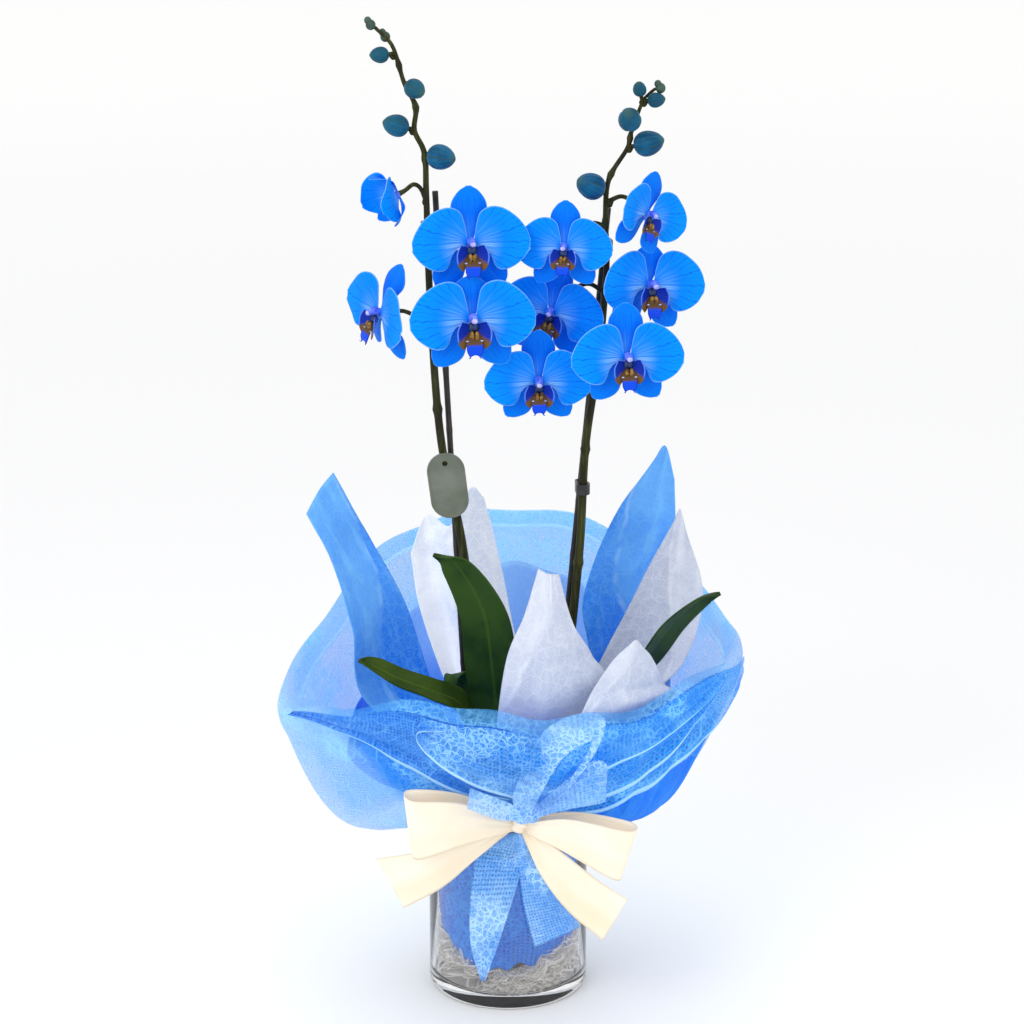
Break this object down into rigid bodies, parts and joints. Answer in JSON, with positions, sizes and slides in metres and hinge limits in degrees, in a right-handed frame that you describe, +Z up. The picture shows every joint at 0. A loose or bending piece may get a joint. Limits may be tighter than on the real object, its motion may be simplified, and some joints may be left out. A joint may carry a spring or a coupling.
{
  "type": "potted moth orchid in a vase",
  "caption": "Two-spiked blue moth orchid in a nursery pot, wrapped in net and paper with a satin bow, standing in a clear glass cylinder vase.",
  "frame": {"origin": "centre of the vase's foot, on the surface it stands on", "axes": "+Z up along the vase; +X to the right and -Y to the front, where the blooms and the bows face"},
  "size_m": [0.347, 0.3047, 0.7361],
  "materials": {
    "clear_glass": "clear, polished",
    "pot_plastic": "satin, translucent brown",
    "bark": "rough, dry",
    "organza_shreds": "sheer, crumpled",
    "blue_net": "non-woven net, matt, sheer",
    "pale_net": "non-woven net, matt, sheer",
    "blue_nonwoven": "embossed non-woven, matt",
    "white_nonwoven": "embossed non-woven, matt",
    "cream_satin": "satin, glossy",
    "petal": "satin, veined",
    "lip": "satin",
    "bud": "satin",
    "leaf": "waxy",
    "olive_leaf": "waxy",
    "plant_crown": "fleshy",
    "spike_stem": "waxy",
    "cane_plastic": "matt",
    "clip_plastic": "smooth",
    "tag_plastic": "matt, translucent"
  },
  "bodies": {
    "root": {"glass_vase": "clear_glass", "nursery_pot": "pot_plastic", "bark_mix": "bark", "organza_shreds": "organza_shreds", "net_sleeve": "blue_net", "net_bowl": "blue_net", "paper_collar": "blue_nonwoven", "blue_sheet_left": "blue_nonwoven", "blue_sheet_right": "blue_nonwoven", "white_sheet_right": "white_nonwoven", "white_sheet_centre": "white_nonwoven", "white_sheet_front": "white_nonwoven", "white_sheet_left": "white_nonwoven", "plant_crown": "plant_crown", "leaf_centre": "leaf", "leaf_left": "olive_leaf", "leaf_right": "leaf", "leaf_short": "leaf", "flower_spike_left": "spike_stem", "support_cane_left": "cane_plastic", "flower_spike_right": "spike_stem", "support_cane_right": "cane_plastic", "clip_left": "clip_plastic", "clip_right_low": "clip_plastic", "clip_right_high": "clip_plastic", "plant_tag": "tag_plastic", "bloom_a": "petal", "lip_a": "lip", "bloom_b": "petal", "lip_b": "lip", "bloom_c": "petal", "lip_c": "lip", "bloom_d": "petal", "bloom_e": "petal", "lip_e": "lip", "bloom_f": "petal", "lip_f": "lip", "bloom_g": "petal", "lip_g": "lip", "bloom_h": "petal", "lip_h": "lip", "bloom_i": "petal", "lip_i": "lip", "bloom_j": "petal", "lip_j": "lip", "bud_left_1": "bud", "bud_left_2": "bud", "bud_left_3": "bud", "bud_left_4": "bud", "bud_right_1": "bud", "bud_right_2": "bud", "bud_right_3": "bud", "bud_right_4": "bud", "bud_right_5": "bud", "ribbon_band": "cream_satin", "ribbon_bow": "cream_satin", "net_bow": "pale_net", "net_tails": "pale_net"}
  },
  "joints": []
}
